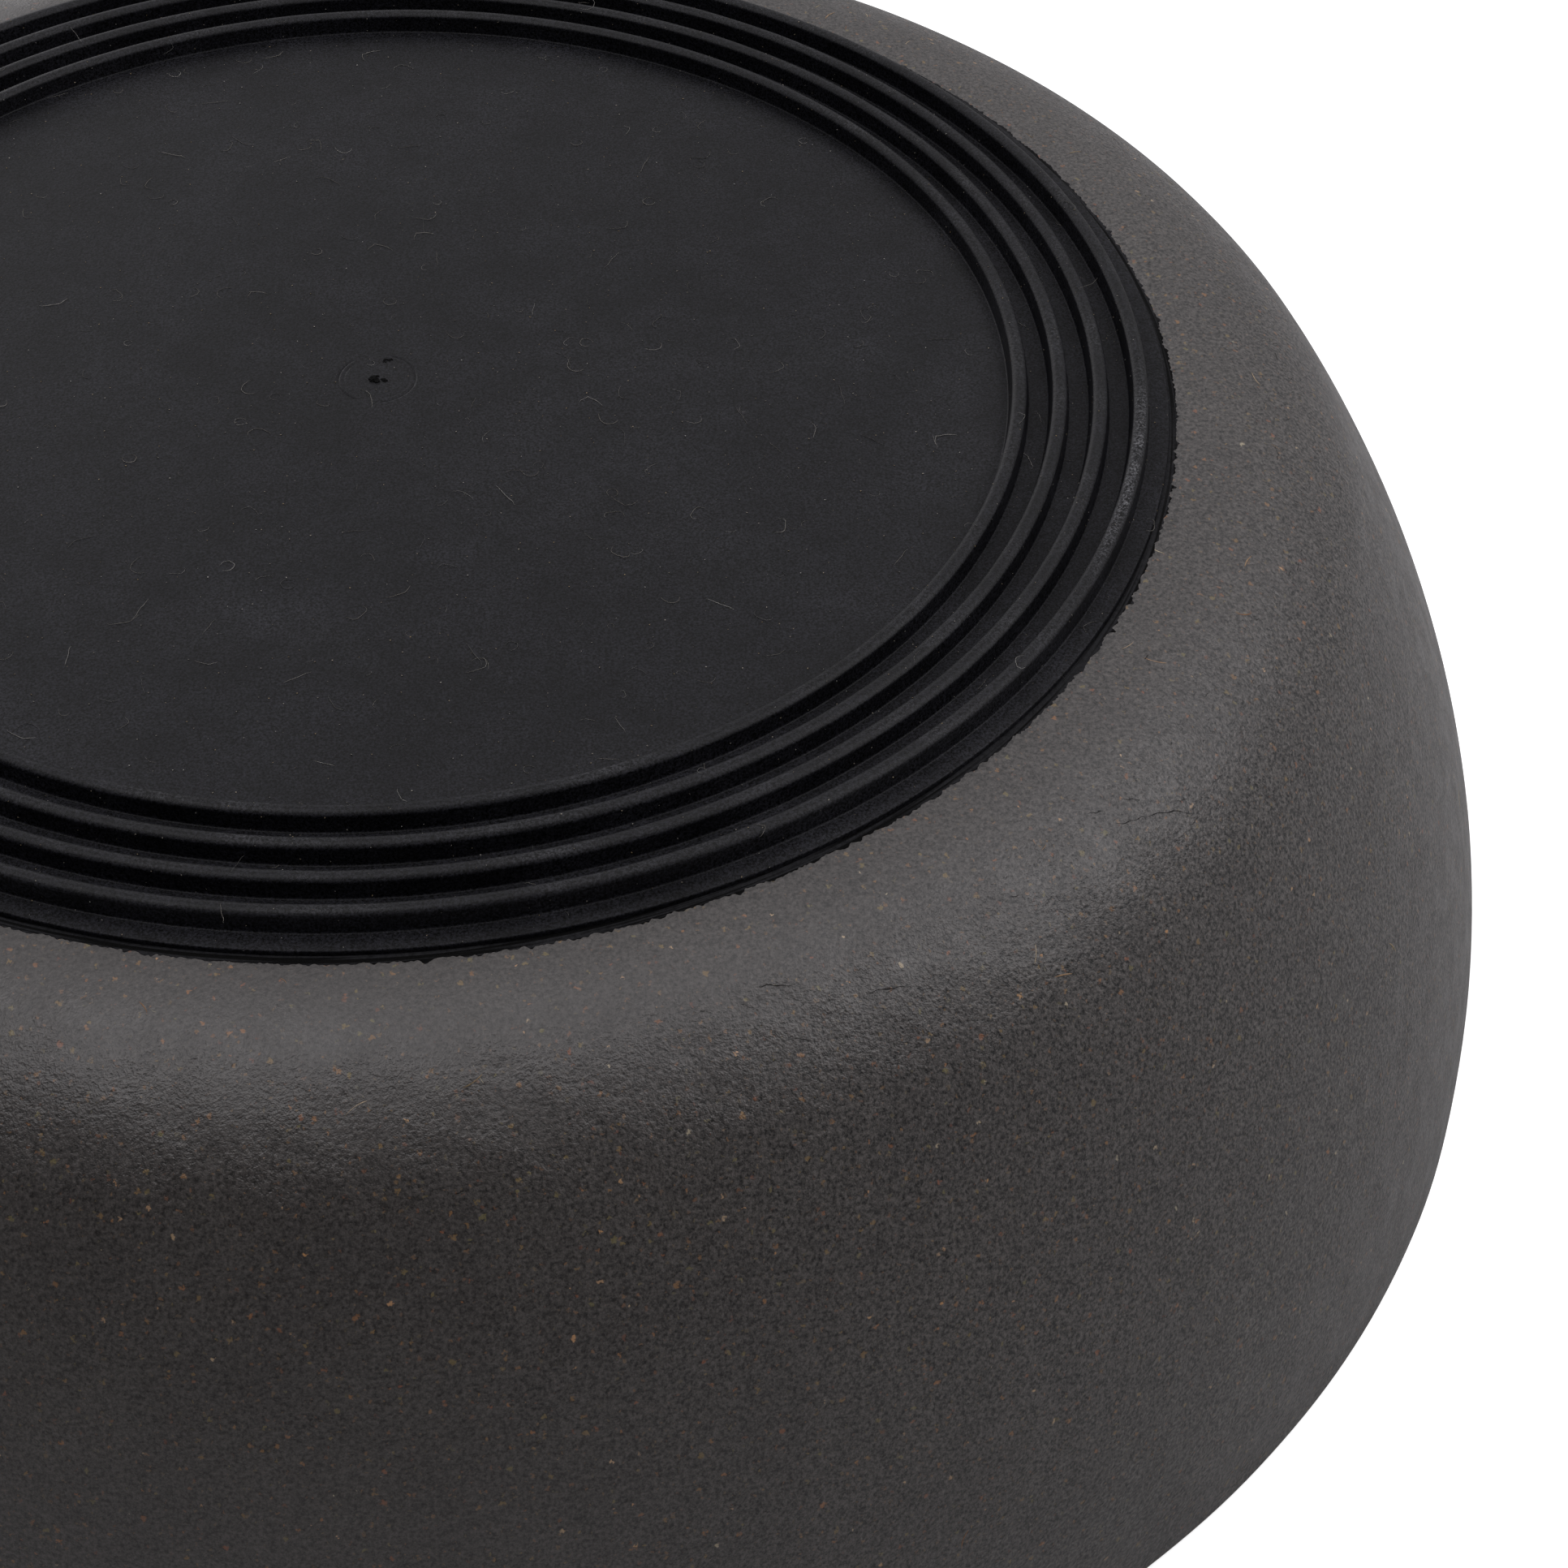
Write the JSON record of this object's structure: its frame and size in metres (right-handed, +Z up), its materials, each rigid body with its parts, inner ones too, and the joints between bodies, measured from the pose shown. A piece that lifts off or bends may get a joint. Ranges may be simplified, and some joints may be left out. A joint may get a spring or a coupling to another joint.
{
  "type": "bowl with rubber base",
  "caption": "Round moulded fibre-composite bowl with a bonded black rubber base pad that carries concentric anti-slip ribs, standing upside down on its rim.",
  "frame": {"origin": "on the bowl's axis, in the plane of the rim that the upturned bowl stands on", "axes": "+Z up along the bowl's axis, from the rim towards the rubber base; X and Y are any two directions across, as the bowl is round"},
  "size_m": [0.2004, 0.2004, 0.0644],
  "materials": {
    "fibre_composite": "compression-moulded, speckled, satin-matt",
    "moulded_rubber": "moulded, matt with a soft sheen",
    "contact_adhesive": "dried film"
  },
  "bodies": {
    "root": {"bowl_body": "fibre_composite", "base_pad": "moulded_rubber", "pad_adhesive": "contact_adhesive"}
  },
  "joints": []
}
